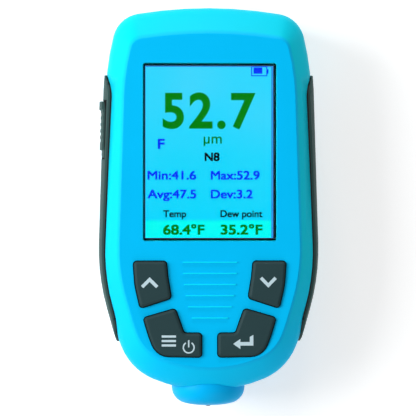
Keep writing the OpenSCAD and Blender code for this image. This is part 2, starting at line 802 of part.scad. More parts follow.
front_shell();
rear_shell();
left_grip();
right_grip();
display_lens();
display_module();
main_board();
keypad_mat();
snap_domes();
key_up();
key_down();
key_menu();
key_enter();
battery_left();
battery_right();
battery_contacts();
battery_door();
port_cover();
usb_socket();
probe_sleeve();
probe_plunger();
probe_tip();
probe_spring();
sensor_coil();
probe_cap();
probe_seal();
case_screws();
case_seal();
buzzer();
processor();
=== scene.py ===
import json
import math

import bmesh
import bpy
from mathutils import Matrix, Vector


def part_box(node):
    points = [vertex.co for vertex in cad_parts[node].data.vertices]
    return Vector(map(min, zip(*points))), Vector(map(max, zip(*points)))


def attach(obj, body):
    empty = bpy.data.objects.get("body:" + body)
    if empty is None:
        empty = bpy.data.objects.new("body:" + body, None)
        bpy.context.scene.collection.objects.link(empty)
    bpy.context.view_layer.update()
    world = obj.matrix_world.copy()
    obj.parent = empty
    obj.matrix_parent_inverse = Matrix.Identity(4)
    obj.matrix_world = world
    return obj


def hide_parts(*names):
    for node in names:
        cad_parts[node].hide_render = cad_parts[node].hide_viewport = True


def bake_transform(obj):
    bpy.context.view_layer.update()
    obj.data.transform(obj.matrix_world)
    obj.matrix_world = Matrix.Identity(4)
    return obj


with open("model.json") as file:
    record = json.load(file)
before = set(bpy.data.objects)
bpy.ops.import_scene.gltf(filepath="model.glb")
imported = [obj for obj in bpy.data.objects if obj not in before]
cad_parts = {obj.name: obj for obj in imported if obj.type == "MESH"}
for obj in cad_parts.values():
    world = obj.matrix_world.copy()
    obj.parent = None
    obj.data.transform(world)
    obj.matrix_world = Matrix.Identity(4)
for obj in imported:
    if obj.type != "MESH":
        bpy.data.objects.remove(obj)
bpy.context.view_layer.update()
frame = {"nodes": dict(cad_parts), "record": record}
nodes = frame["nodes"]
record = frame["record"]
scene = bpy.context.scene
scene.view_settings.view_transform = "Standard"
mm = 0.001
hair = 0.02 * mm  # heights this close count as one
bodyOf = {node: body for body, members in record["behaviour"]["bodies"].items() for node in members}
print("frame loaded with", len(nodes), "nodes")


def linear(red, green, blue):  # colour as seen on a screen, 0 to 255
    def channel(value):
        value = value / 255
        return value / 12.92 if value <= 0.04045 else ((value + 0.055) / 1.055) ** 2.4
    return (channel(red), channel(green), channel(blue), 1.0)


# shared finishes as node groups

def newGroup(name, inputs, outputs):
    group = bpy.data.node_groups.new(name, "ShaderNodeTree")
    for label, kind, value in inputs:
        socket = group.interface.new_socket(label, in_out="INPUT", socket_type=kind)
        if value is not None:
            socket.default_value = value
    for label, kind in outputs:
        group.interface.new_socket(label, in_out="OUTPUT", socket_type=kind)
    return group, group.nodes.new("NodeGroupInput"), group.nodes.new("NodeGroupOutput")


def feed(tree, value, socket):
    if isinstance(value, bpy.types.NodeSocket):
        tree.links.new(value, socket)
    else:
        socket.default_value = value


def mathNode(tree, operation, first, second, third=None):
    node = tree.nodes.new("ShaderNodeMath")
    node.operation = operation
    feed(tree, first, node.inputs[0])
    feed(tree, second, node.inputs[1])
    if third is not None:
        feed(tree, third, node.inputs[2])
    return node.outputs[0]


def noiseNode(tree, vector, scale, detail=2.0):
    node = tree.nodes.new("ShaderNodeTexNoise")
    feed(tree, vector, node.inputs["Vector"])
    feed(tree, scale, node.inputs["Scale"])
    node.inputs["Detail"].default_value = detail
    return node.outputs["Fac"]


def mixColor(tree, fac, first, second):  # the mix node keeps its colours in sockets 6 and 7
    node = tree.nodes.new("ShaderNodeMix")
    node.data_type = "RGBA"
    feed(tree, fac, node.inputs[0])
    feed(tree, first, node.inputs[6])
    feed(tree, second, node.inputs[7])
    return node.outputs[2]


def span(tree, value, low, high):  # 0 at low, 1 at high
    node = tree.nodes.new("ShaderNodeMapRange")
    feed(tree, value, node.inputs["Value"])
    node.inputs["From Min"].default_value = low
    node.inputs["From Max"].default_value = high
    return node.outputs["Result"]


surfaceOutputs = [("Color", "NodeSocketColor"), ("Roughness", "NodeSocketFloat"),
                  ("Height", "NodeSocketFloat")]
mouldGrain = {"slow": 90.0, "slowDetail": 3.0}


def mouldedGrainGroup():  # eroded mould surface: fine grain over a slow drift of tone
    group, given, made = newGroup(
        "mouldedGrain",
        [("Vector", "NodeSocketVector", None), ("Color", "NodeSocketColor", (1, 1, 1, 1)),
         ("Tone", "NodeSocketFloat", 0.06), ("Grain", "NodeSocketFloat", 5000.0),
         ("Rough", "NodeSocketFloat", 0.4), ("Drift", "NodeSocketFloat", 0.08)],
        surfaceOutputs)
    fine = noiseNode(group, given.outputs["Vector"], given.outputs["Grain"])
    slow = noiseNode(group, given.outputs["Vector"], mouldGrain["slow"], mouldGrain["slowDetail"])
    swing = mathNode(group, "SUBTRACT", mathNode(group, "ADD", fine, slow), 1.0)
    tint = group.nodes.new("ShaderNodeHueSaturation")
    feed(group, mathNode(group, "MULTIPLY_ADD", swing, given.outputs["Tone"], 1.0), tint.inputs["Value"])
    feed(group, given.outputs["Color"], tint.inputs["Color"])
    feed(group, tint.outputs["Color"], made.inputs["Color"])
    rough = mathNode(group, "MULTIPLY_ADD", swing, given.outputs["Drift"], given.outputs["Rough"])
    feed(group, rough, made.inputs["Roughness"])
    feed(group, fine, made.inputs["Height"])
    return group


turnedMarks = {"stretch": (300.0, 9000.0, 300.0), "slow": 400.0, "slowDetail": 3.0,
               "toneLow": 0.92, "toneSwing": 0.16, "roughSwing": 0.12}


def turnedMetalGroup():  # fine tool marks along Y and a slow change of polish
    group, given, made = newGroup(
        "turnedMetal",
        [("Vector", "NodeSocketVector", None), ("Color", "NodeSocketColor", (1, 1, 1, 1)),
         ("Marks", "NodeSocketFloat", 1.0), ("Rough", "NodeSocketFloat", 0.3)],
        surfaceOutputs)
    stretch = group.nodes.new("ShaderNodeMapping")
    feed(group, given.outputs["Vector"], stretch.inputs["Vector"])
    stretch.inputs["Scale"].default_value = turnedMarks["stretch"]
    cuts = noiseNode(group, stretch.outputs["Vector"], 1.0)
    lines = mathNode(group, "MULTIPLY", cuts, given.outputs["Marks"])
    slow = noiseNode(group, given.outputs["Vector"], turnedMarks["slow"], turnedMarks["slowDetail"])
    tint = group.nodes.new("ShaderNodeHueSaturation")
    tone = mathNode(group, "MULTIPLY_ADD", slow, turnedMarks["toneSwing"], turnedMarks["toneLow"])
    feed(group, tone, tint.inputs["Value"])
    feed(group, given.outputs["Color"], tint.inputs["Color"])
    feed(group, tint.outputs["Color"], made.inputs["Color"])
    rough = mathNode(group, "MULTIPLY_ADD", lines, turnedMarks["roughSwing"], given.outputs["Rough"])
    feed(group, rough, made.inputs["Roughness"])
    feed(group, lines, made.inputs["Height"])
    return group


grainGroup = mouldedGrainGroup()
metalGroup = turnedMetalGroup()
usualLook = {"bump": 0.1, "bumpDepth": 0.04 * mm, "metal": 0.0, "specular": 0.5}
# colour of the painted shade inside the pockets
paintedPocketShade = linear(6, 7, 8)


def finishMaterial(name, look, group):
    material = bpy.data.materials.new(name)
    material.use_nodes = True
    tree = material.node_tree
    shader = tree.nodes["Principled BSDF"]
    coords = tree.nodes.new("ShaderNodeTexCoord")
    finish = tree.nodes.new("ShaderNodeGroup")
    finish.node_tree = group
    for label in ("Color", "Tone", "Grain", "Rough", "Drift", "Marks"):
        if label in finish.inputs and label.lower() in look:
            finish.inputs[label].default_value = look[label.lower()]
    feed(tree, coords.outputs["Object"], finish.inputs["Vector"])
    if "pocketShadeSpan" in look:  # painted shade: darker where the piece goes down into its pocket
        sunk = tree.nodes.new("ShaderNodeAttribute")
        sunk.attribute_name = "sunk"
        deep = span(tree, sunk.outputs["Fac"], *look["pocketShadeSpan"])
        feed(tree, mixColor(tree, deep, look["color"], paintedPocketShade), finish.inputs["Color"])
    if "fades" in look:  # painted light: other tones along an axis
        split = tree.nodes.new("ShaderNodeSeparateXYZ")
        feed(tree, coords.outputs["Object"], split.inputs[0])
        tint = look["color"]
        for axis, start, end, tone in look["fades"]:
            tint = mixColor(tree, span(tree, split.outputs[axis], start, end), tint, tone)
        feed(tree, tint, finish.inputs["Color"])
    feed(tree, finish.outputs["Color"], shader.inputs["Base Color"])
    feed(tree, finish.outputs["Roughness"], shader.inputs["Roughness"])
    bump = tree.nodes.new("ShaderNodeBump")
    bump.inputs["Strength"].default_value = look.get("bump", usualLook["bump"])
    bump.inputs["Distance"].default_value = usualLook["bumpDepth"]
    feed(tree, finish.outputs["Height"], bump.inputs["Height"])
    feed(tree, bump.outputs["Normal"], shader.inputs["Normal"])
    shader.inputs["Metallic"].default_value = look.get("metal", usualLook["metal"])
    shader.inputs["Specular IOR Level"].default_value = look.get("specular", usualLook["specular"])
    return material


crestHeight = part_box("front_shell")[1].z
azure = linear(0, 191, 250)
rimLightFades = [("Y", -15 * mm, -45 * mm, linear(0, 203, 255)),  # painted light: towards the low end, where less light falls, the lit turquoise turns bluer
            ("Z", crestHeight - 1.3 * mm, crestHeight - 0.2 * mm, azure)]  # and to the face's azure up to the crest
plasticLooks = {
    "faceAzure": {"color": azure, "rough": 0.5, "tone": 0.05, "bump": 0.14, "specular": 0.05},
    # painted light: the sloping rim's turquoise stands for the lit sides of the same azure plastic as the
    # face
    "rimLitTurquoise": {"color": linear(0, 212, 238), "rough": 0.48, "tone": 0.05, "bump": 0.14,
                     "specular": 0.05, "fades": rimLightFades},
    "noseAzure": {"color": linear(0, 184, 248), "rough": 0.42, "tone": 0.05, "bump": 0.1, "specular": 0.06},
    # painted highlight: the raised lines are a lighter cyan for the light they catch
    "lineLitCyan": {"color": linear(0, 226, 252), "rough": 0.45, "tone": 0.03, "specular": 0.1},
    "gripRubber": {"color": linear(46, 74, 72), "rough": 0.62, "tone": 0.14, "bump": 0.3, "grain": 3500.0,
                   "specular": 0.2, "pocketShadeSpan": (0.4, 0.52)},
    "keyRubber": {"color": linear(34, 58, 61), "rough": 0.6, "tone": 0.16, "bump": 0.3, "grain": 4200.0,
                  "specular": 0.15},
    "doorPlastic": {"color": linear(50, 60, 61), "rough": 0.55, "tone": 0.1, "bump": 0.25, "grain": 3800.0},
    "displayFrame": {"color": linear(8, 9, 12), "rough": 0.5, "specular": 0.2},
    "matSilicone": {"color": linear(110, 116, 118), "rough": 0.7, "tone": 0.08},
    "boardGreen": {"color": linear(20, 92, 52), "rough": 0.4, "tone": 0.25, "grain": 900.0},
    "cellWrap": {"color": linear(190, 140, 52), "rough": 0.35, "metal": 0.5, "tone": 0.08, "grain": 1500.0},
    "blackPlastic": {"color": linear(28, 29, 31), "rough": 0.5, "tone": 0.1},
    # dark rubber of the real seals, also used as painted shade in the gaps, the cover's seat and the parting
    # line
    "sealRubberAndShade": {"color": linear(18, 18, 19), "rough": 0.7, "tone": 0.15},
    "keyInk": {"color": linear(188, 213, 222), "rough": 0.5, "tone": 0.04, "grain": 4200.0},
}
plasticLooks["flapRubber"] = dict(plasticLooks["gripRubber"], pocketShadeSpan=(0.25, 0.37))
metalLooks = {
    "groundSteel": {"color": linear(205, 206, 208), "rough": 0.24, "metal": 1.0, "marks": 1.0},
    "blackenedSteel": {"color": linear(110, 112, 116), "rough": 0.34, "metal": 1.0, "marks": 0.5},
    "windingCopper": {"color": linear(200, 110, 60), "rough": 0.35, "metal": 1.0, "marks": 1.0},
    "tinnedContact": {"color": linear(214, 210, 196), "rough": 0.3, "metal": 1.0, "marks": 0.4},
}
mats = {name: finishMaterial(name, look, grainGroup) for name, look in plasticLooks.items()}
mats.update({name: finishMaterial(name, look, metalGroup) for name, look in metalLooks.items()})
print("finishes ready:", len(mats))


# visible copies of the solids: merged, edges eased, smooth shaded

copyShape = {"merge": 0.002 * mm, "flat": 0.3, "sharp": 35}  # flat and sharp in degrees


def edgeTurn(edge):
    return math.degrees(edge.calc_face_angle_signed(0.0))  # positive on outer corners


def cornersOf(faces):
    return {vert for face in faces for vert in face.verts}


def addPiece(name, bm, materials, body):
    mesh = bpy.data.meshes.new(name)
    bm.to_mesh(mesh)
    bm.free()
    for material in materials:
        mesh.materials.append(mats[material] if isinstance(material, str) else material)
    piece = bpy.data.objects.new(name, mesh)
    scene.collection.objects.link(piece)
    if body:
        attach(piece, body)
    return piece


def mergedSolid(node):
    bm = bmesh.new()
    bm.from_mesh(nodes[node].data)
    bmesh.ops.remove_doubles(bm, verts=bm.verts[:], dist=copyShape["merge"])
    flat = math.radians(copyShape["flat"])
    bmesh.ops.dissolve_limit(bm, angle_limit=flat, verts=bm.verts[:], edges=bm.edges[:])
    for face in bm.faces:
        face.material_index = 0
    return bm


def easeEdges(bm, width, segments, wanted):
    picked = [edge for edge in bm.edges if len(edge.link_faces) == 2 and wanted(edge)]
    made = bmesh.ops.bevel(bm, geom=picked, offset=width, offset_type="OFFSET", affect="EDGES",
                           segments=segments, profile=0.5, material=-1, clamp_overlap=True)
    return made["faces"]


def finishCopy(node, name, bm, materials, sharp=copyShape["sharp"], even=True):
    bmesh.ops.triangulate(bm, faces=[face for face in bm.faces if len(face.verts) > 4])
    piece = addPiece(name, bm, materials, bodyOf[node])
    mesh = piece.data
    mesh.polygons.foreach_set("use_smooth", [True] * len(mesh.polygons))
    mesh.set_sharp_from_angle(angle=math.radians(sharp))
    if even:
        weighted = piece.modifiers.new("evenShading", "WEIGHTED_NORMAL")
        weighted.keep_sharp = True
    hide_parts(node)
    return piece


gapShape = {"beyond": 24 * mm, "below": 29 * mm, "across": 0.05, "foot": -30}  # foot in degrees


def gapWall(face):  # faces along the flank, not out of it
    middle = face.calc_center_median()
    if abs(face.normal.x) >= gapShape["across"]:
        return False
    return abs(middle.x) > gapShape["beyond"] and middle.z < gapShape["below"]


def darkenGaps(bm, index):  # painted shade: the narrow walls beside grips and port cover, and the floors at their foot, get the dark seal finish
    bm.normal_update()
    walls = [face for face in bm.faces if gapWall(face)]
    for face in walls:
        face.material_index = index
        for edge in face.edges:
            if len(edge.link_faces) == 2 and edgeTurn(edge) < gapShape["foot"]:
                for beside in edge.link_faces:
                    beside.material_index = index


frontShape = {"finishes": ["rimLitTurquoise", "faceAzure", "lineLitCyan", "sealRubberAndShade"],
              "ease": 0.1 * mm, "segments": 2, "corner": 60, "sharp": 30, "upright": 0.9,
              "middleClear": 2 * mm, "faceDepth": 0.25 * mm, "crestBand": 0.2 * mm,
              "lineTop": -14 * mm, "lineLow": -40 * mm, "lineHalf": 9 * mm}
keyStand = 1.1 * mm  # the keys' tops above the face
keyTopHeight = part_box("key_up")[1].z
faceHeight = keyTopHeight - keyStand


def openingEdge(edge):  # edge of an opening in the flat face
    if edgeTurn(edge) <= frontShape["corner"]:
        return False
    if min(abs(v.co.x) for v in edge.verts) <= frontShape["middleClear"]:
        return False
    return all(abs(v.co.z - faceHeight) < hair for v in edge.verts)


def onFace(face, middle):
    if middle.z > crestHeight - frontShape["crestBand"]:
        return True
    return face.normal.z > frontShape["upright"] and middle.z > faceHeight - frontShape["faceDepth"]


def onRaisedLine(face, middle):  # the moulded lines between the keys, which get a painted highlight
    if middle.z <= faceHeight + hair or abs(middle.x) >= frontShape["lineHalf"]:
        return False
    if not frontShape["lineLow"] < middle.y < frontShape["lineTop"]:
        return False
    return abs(face.normal.y) + abs(face.normal.z) > frontShape["upright"]


def levelShading(mesh, low, high):  # corners of the flat face and the slope beside it point straight up
    normals = [corner.vector.copy() for corner in mesh.corner_normals]
    for polygon in mesh.polygons:
        if polygon.normal.z < frontShape["upright"]:
            continue
        for loop in polygon.loop_indices:
            if low < mesh.vertices[mesh.loops[loop].vertex_index].co.z < high:
                normals[loop] = Vector((0, 0, 1))
    mesh.normals_split_custom_set(normals)


def buildFrontShell():
    bm = mergedSolid("front_shell")
    finishes = frontShape["finishes"]
    easeEdges(bm, frontShape["ease"], frontShape["segments"], openingEdge)
    for face in bm.faces:
        middle = face.calc_center_median()
        if onFace(face, middle):
            face.material_index = finishes.index("faceAzure")
        if onRaisedLine(face, middle):
            face.material_index = finishes.index("lineLitCyan")
    darkenGaps(bm, finishes.index("sealRubberAndShade"))
    shell = finishCopy("front_shell", "frontShell", bm, finishes, frontShape["sharp"], False)
    levelShading(shell.data, faceHeight - hair, crestHeight + hair)
    return shell


rearShape = {"finishes": ["rimLitTurquoise", "sealRubberAndShade"], "seam": 0.18 * mm, "seamHeight": 15 * mm,
             "near": 0.01 * mm, "corner": 60, "sharp": 30, "flank": 0.3}


def seamEdge(edge):  # outer edge of the rear shell along the joint
    if edgeTurn(edge) < rearShape["corner"]:
        return False
    if any(abs(v.co.z - rearShape["seamHeight"]) > rearShape["near"] for v in edge.verts):
        return False
    middle = (edge.verts[0].co + edge.verts[1].co) / 2
    return any(abs(face.normal.z) < rearShape["flank"] and face.normal.dot(middle) > 0
               for face in edge.link_faces)


def buildRearShell():
    bm = mergedSolid("rear_shell")
    dark = rearShape["finishes"].index("sealRubberAndShade")
    seam = easeEdges(bm, rearShape["seam"], 1, seamEdge)
    darkenGaps(bm, dark)
    for face in seam:  # painted shade along the parting line
        face.material_index = dark
    return finishCopy("rear_shell", "rearShell", bm, rearShape["finishes"], rearShape["sharp"])


pocketSide = -0.3  # faces that look this far inwards lie in the pocket


def markSunk(bm, out):  # corners that lie in the pocket, which get painted shade
    sunk = bm.verts.layers.float.new("sunk")
    for vert in bm.verts:
        inmost = min(face.normal.x * out for face in vert.link_faces)
        vert[sunk] = 1.0 if inmost < pocketSide else 0.0


gripShape = {"finishes": ["gripRubber", "sealRubberAndShade"], "ease": 0.3 * mm, "segments": 3, "corner": 40,
             "outward": 0.3, "across": 0.1, "seat": 0.6 * mm}
coverLow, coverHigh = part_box("port_cover")


def inCoverSeat(face):
    room = gripShape["seat"]
    middle = face.calc_center_median()
    if abs(face.normal.x) >= gripShape["across"] or middle.x >= 0:
        return False
    along = coverLow.y - room < middle.y < coverHigh.y + room
    return along and coverLow.z - room < middle.z < coverHigh.z + room


def buildGrip(node, name):
    bm = mergedSolid(node)
    out = math.copysign(1.0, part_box(node)[0].x)
    markSunk(bm, out)

    def outerEdge(edge):  # only the edges on the outside are eased
        facing = [face.normal.x * out for face in edge.link_faces]
        if edgeTurn(edge) <= gripShape["corner"] or max(facing) <= gripShape["outward"]:
            return False
        return min(abs(part) for part in facing) < gripShape["across"]

    easeEdges(bm, gripShape["ease"], gripShape["segments"], outerEdge)
    for face in bm.faces:
        if inCoverSeat(face):  # painted shade: the walls of the cover's seat get the dark seal finish
            face.material_index = gripShape["finishes"].index("sealRubberAndShade")
    return finishCopy(node, name, bm, gripShape["finishes"])


flapShape = {"ease": 0.1 * mm, "segments": 2, "corner": 35, "outward": -0.3, "foot": -60, "fill": 0.15 * mm}


def grooveFloor(face):  # has a wall on both sides
    walls = sum(edgeTurn(edge) < flapShape["foot"] for edge in face.edges)
    return face.normal.x < flapShape["outward"] and walls > 1


def buildPortCover():
    bm = mergedSolid("port_cover")
    floors = cornersOf([face for face in bm.faces if grooveFloor(face)])
    bmesh.ops.translate(bm, vec=(-flapShape["fill"], 0, 0), verts=list(floors))  # shallow, soft ribs
    bm.normal_update()
    markSunk(bm, -1.0)
    easeEdges(bm, flapShape["ease"], flapShape["segments"], lambda edge: edgeTurn(edge) > flapShape["corner"])
    return finishCopy("port_cover", "portCover", bm, ["flapRubber"])


keyShape = {"edge": 0.22 * mm, "edgeDrop": 0.4 * mm, "round": 0.3 * mm, "roundDrop": 0.1 * mm,
            "crownDrop": 0.03 * mm, "speck": 0.04 * mm, "topDepth": 0.01 * mm, "level": 0.99, "sharp": 60}


def topFaces(bm):
    bm.normal_update()
    floor = keyTopHeight - keyShape["topDepth"]
    return [face for face in bm.faces
            if face.normal.z > keyShape["level"] and min(v.co.z for v in face.verts) > floor]


def buildKey(node, name):  # the top's edge goes down in three rings
    bm = mergedSolid(node)
    bmesh.ops.dissolve_degenerate(bm, dist=keyShape["speck"], edges=bm.edges[:])
    bmesh.ops.dissolve_faces(bm, faces=topFaces(bm), use_verts=True)
    top = topFaces(bm)
    outer = bmesh.ops.inset_region(bm, faces=top, thickness=keyShape["edge"], use_even_offset=True)["faces"]
    inner = bmesh.ops.inset_region(bm, faces=top, thickness=keyShape["round"], use_even_offset=True)["faces"]
    crown = cornersOf(top)
    shoulder = cornersOf(inner) - crown
    edge = cornersOf(outer) - shoulder
    for ring, drop in ((edge, "edgeDrop"), (shoulder, "roundDrop"), (crown, "crownDrop")):
        bmesh.ops.translate(bm, vec=(0, 0, -keyShape[drop]), verts=list(ring))
    return finishCopy(node, name, bm, ["keyRubber"], keyShape["sharp"])


def buildPlain(node, name, finish):
    return finishCopy(node, name, mergedSolid(node), [finish])


def buildSpring():  # the coil that shortens between the cap and the plunger, here a smooth steel copy on no body
    bm = mergedSolid("probe_spring")
    for face in bm.faces:
        face.smooth = True
    spring = addPiece("probeSpring", bm, ["groundSteel"], None)
    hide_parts("probe_spring")
    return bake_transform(spring)


buildFrontShell()
buildRearShell()
buildGrip("left_grip", "leftGrip")
buildGrip("right_grip", "rightGrip")
buildPortCover()
buildPlain("battery_door", "batteryDoor", "doorPlastic")
buildPlain("probe_sleeve", "probeNose", "noseAzure")
buildSpring()
keyNames = {"key_up": "upKey", "key_down": "downKey", "key_menu": "menuKey", "key_enter": "enterKey"}
for keyNode, keyName in keyNames.items():
    buildKey(keyNode, keyName)
print("shells, grips and keys ready")

# inner pieces keep their solids
innerLooks = {
    "display_module": "displayFrame", "main_board": "boardGreen", "keypad_mat": "matSilicone",
    "snap_domes": "tinnedContact", "battery_left": "cellWrap", "battery_right": "cellWrap",
    "battery_contacts": "tinnedContact", "usb_socket": "tinnedContact", "probe_plunger": "groundSteel",
    "probe_tip": "blackenedSteel", "sensor_coil": "windingCopper", "probe_cap": "blackPlastic",
    "probe_seal": "sealRubberAndShade", "case_screws": "blackenedSteel", "case_seal": "sealRubberAndShade",
    "buzzer": "blackPlastic", "processor": "blackPlastic",
}
for nodeName, finish in innerLooks.items():
    nodes[nodeName].data.materials.clear()
    nodes[nodeName].data.materials.append(mats[finish])
print("inner pieces ready:", len(innerLooks))


# display: glass, bezel, lit panel and what it shows

glassLook = {"ior": 1.12, "smear": 120.0, "smearDetail": 3.0, "haze": 0.006}
litLook = {"grain": 2500.0, "rough": 0.6}


def clearGlass():
    material = bpy.data.materials.new("clearGlass")
    material.use_nodes = True
    tree = material.node_tree
    shader = tree.nodes["Principled BSDF"]
    shader.inputs["Base Color"].default_value = (1, 1, 1, 1)
    shader.inputs["IOR"].default_value = glassLook["ior"]
    shader.inputs["Transmission Weight"].default_value = 1.0
    coords = tree.nodes.new("ShaderNodeTexCoord")
    smear = noiseNode(tree, coords.outputs["Object"], glassLook["smear"], glassLook["smearDetail"])
    feed(tree, mathNode(tree, "MULTIPLY", smear, glassLook["haze"]), shader.inputs["Roughness"])
    return material


def litMaterial(name, low, high):  # a lit colour with a slight unevenness
    material = bpy.data.materials.new(name)
    material.use_nodes = True
    tree = material.node_tree
    shader = tree.nodes["Principled BSDF"]
    shader.inputs["Base Color"].default_value = (0, 0, 0, 1)
    shader.inputs["Roughness"].default_value = litLook["rough"]
    shader.inputs["Specular IOR Level"].default_value = 0.0
    shader.inputs["Emission Strength"].default_value = 1.0
    coords = tree.nodes.new("ShaderNodeTexCoord")
    uneven = noiseNode(tree, coords.outputs["Object"], litLook["grain"])
    feed(tree, mixColor(tree, uneven, low, high), shader.inputs["Emission Color"])
    return material


screenLook = {"left": -19.46 * mm, "right": 18.7 * mm, "low": -9.04 * mm, "high": 42.78 * mm,
              "lift": 0.02 * mm, "bezelLift": 0.01 * mm, "inkLift": 0.04 * mm,
              "stripTop": -3.75 * mm, "stripBlur": 0.05 * mm,
              "pale": linear(84, 216, 254), "deep": linear(0, 214, 254), "strip": linear(0, 250, 246),
              "paleFrom": -4 * mm, "paleTo": 46 * mm, "cloud": 45.0, "cloudGain": 0.9, "cloudBase": -0.05}
bezelShape = {"left": 0.15 * mm, "right": 0.65 * mm, "low": 0.1 * mm, "high": 0.4 * mm}  # beyond the panel
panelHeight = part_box("display_module")[1].z
inkHeight = panelHeight + screenLook["inkLift"]
nodes["display_lens"].data.materials.clear()
nodes["display_lens"].data.materials.append(clearGlass())


def panelMaterial():  # paler towards the top, with a bright strip at the foot
    material = litMaterial("panelGlow", screenLook["deep"], screenLook["pale"])
    tree = material.node_tree
    shader = tree.nodes["Principled BSDF"]
    coords = tree.nodes.new("ShaderNodeTexCoord")
    split = tree.nodes.new("ShaderNodeSeparateXYZ")
    feed(tree, coords.outputs["Object"], split.inputs[0])
    rise = span(tree, split.outputs["Y"], screenLook["paleFrom"], screenLook["paleTo"])
    cloud = noiseNode(tree, coords.outputs["Object"], screenLook["cloud"], 1.0)
    cloud = mathNode(tree, "MULTIPLY_ADD", cloud, screenLook["cloudGain"], screenLook["cloudBase"])
    blend = mathNode(tree, "MULTIPLY", cloud, rise)
    base = mixColor(tree, blend, screenLook["deep"], screenLook["pale"])
    blur = screenLook["stripBlur"]
    below = span(tree, split.outputs["Y"], screenLook["stripTop"] + blur, screenLook["stripTop"] - blur)
    feed(tree, mixColor(tree, below, base, screenLook["strip"]), shader.inputs["Emission Color"])
    return material


inks = {
    "inkGreen": litMaterial("inkGreen", linear(0, 118, 0), linear(0, 132, 4)),
    "inkBlue": litMaterial("inkBlue", linear(0, 42, 244), linear(6, 56, 254)),
    "inkBlack": litMaterial("inkBlack", linear(0, 10, 14), linear(6, 22, 30)),
    "bezelBlue": litMaterial("bezelBlue", linear(20, 120, 220), linear(60, 170, 240)),
}
panelGlow = panelMaterial()


def addFlat(bm, x0, y0, x1, y1, z):  # one level rectangle
    made = bmesh.ops.create_grid(bm, x_segments=1, y_segments=1, size=0.5)["verts"]
    bmesh.ops.scale(bm, vec=(x1 - x0, y1 - y0, 1), verts=made)
    bmesh.ops.translate(bm, vec=((x0 + x1) / 2, (y0 + y1) / 2, z), verts=made)


def addPlate(name, x0, y0, x1, y1, z, material):
    bm = bmesh.new()
    addFlat(bm, x0, y0, x1, y1, z)
    return addPiece(name, bm, [material], "housing")


addPlate("screenBezel", screenLook["left"] - bezelShape["left"], screenLook["low"] - bezelShape["low"],
         screenLook["right"] + bezelShape["right"], screenLook["high"] + bezelShape["high"],
         panelHeight + screenLook["bezelLift"], inks["bezelBlue"])
addPlate("screenPanel", screenLook["left"], screenLook["low"], screenLook["right"], screenLook["high"],
         panelHeight + screenLook["lift"], panelGlow)

# marks are placed by pixels of a 416 by 416 picture of the front
pictureScale = {"middle": (209.7, 207.5), "pixel": 0.3027 * mm, "lift": 0.1 * mm}


def fromPixel(px, py):
    midX, midY = pictureScale["middle"]
    pixel = pictureScale["pixel"]
    return ((px - midX) * pixel, (midY - py) * pixel + pictureScale["lift"])


wordShape = {"merge": 1e-5, "layer": 0.0012 * mm}


def wordMesh(words, spacing=1.0, swell=0.0):
    curve = bpy.data.curves.new("words", "FONT")
    curve.body = words
    curve.space_character = spacing
    curve.offset = swell  # pushes the outline out, which small letters don't stand
    holder = bpy.data.objects.new("words", curve)
    scene.collection.objects.link(holder)
    bpy.context.view_layer.update()
    drawn = holder.evaluated_get(bpy.context.evaluated_depsgraph_get())
    mesh = bpy.data.meshes.new_from_object(drawn)
    bpy.data.objects.remove(holder)
    return mesh


capUnit = max(v.co.y for v in wordMesh("H").vertices)  # height of a capital in the font's units


def addWords(name, words, left, right, top, base, ink, weight, spacing=1.0, swell=0.0):
    bm = bmesh.new()
    bm.from_mesh(wordMesh(words, spacing, swell))
    bmesh.ops.remove_doubles(bm, verts=bm.verts[:], dist=wordShape["merge"])
    drawn = bm.verts[:] + bm.edges[:] + bm.faces[:]
    around = [(x, y) for x in (-1, 1) for y in (-1, 1) if weight]
    for step, (x, y) in enumerate(around, 1):  # small strokes are thickened by copies set around the first
        copied = bmesh.ops.duplicate(bm, geom=drawn)["geom"]
        moved = [item for item in copied if isinstance(item, bmesh.types.BMVert)]
        bmesh.ops.translate(bm, vec=(weight * x, weight * y, step), verts=moved)
    low = min(v.co.x for v in bm.verts)
    high = max(v.co.x for v in bm.verts)
    x0, y0 = fromPixel(left, base)
    x1, y1 = fromPixel(right, top)
    grown = weight + swell
    wide = (x1 - x0) / (high - low)
    tall = (y1 - y0) / (capUnit + 2 * grown)
    bmesh.ops.translate(bm, vec=(-low, grown, 0), verts=bm.verts[:])
    bmesh.ops.scale(bm, vec=(wide, tall, wordShape["layer"]), verts=bm.verts[:])
    bmesh.ops.translate(bm, vec=(x0, y0, inkHeight), verts=bm.verts[:])
    return addPiece(name, bm, [inks[ink]], "housing")


# words, left, right, top and base in pixels, ink, stroke weight, and where needed spacing and swell
readings = {
    "mainReading": ("52.7", 162.5, 255.8, 92.3, 128.2, "inkGreen", 0.0, 1.14, 0.028),
    "unitMark": ("µm", 203.6, 221.9, 132.8, 143.2, "inkGreen", 0.01),
    "modeMark": ("F", 157.6, 164.6, 138.4, 148.6, "inkBlue", 0.035),
    "countMark": ("N8", 204.6, 219.7, 152.2, 160.8, "inkBlack", 0.035),
    "lowReading": ("Min:41.6", 147.3, 196.3, 170.5, 179.4, "inkBlue", 0.026),
    "highReading": ("Max:52.9", 210.8, 260.0, 170.5, 179.4, "inkBlue", 0.026),
    "meanReading": ("Avg:47.5", 147.3, 196.3, 189.4, 198.3, "inkBlue", 0.026),
    "spreadReading": ("Dev:3.2", 210.8, 253.1, 189.4, 198.3, "inkBlue", 0.026),
    "heatLabel": ("Temp", 163, 186.2, 210.0, 217.1, "inkBlack", 0.026),
    "dewLabel": ("Dew point", 220.5, 262.8, 210.0, 217.1, "inkBlack", 0.026),
    "heatReading": ("68.4°F", 163, 204.6, 224.6, 234.6, "inkGreen", 0.03),
    "dewReading": ("35.2°F", 220.7, 262.8, 224.6, 234.6, "inkGreen", 0.03),
}
for pieceName, reading in readings.items():
    addWords(pieceName, *reading)

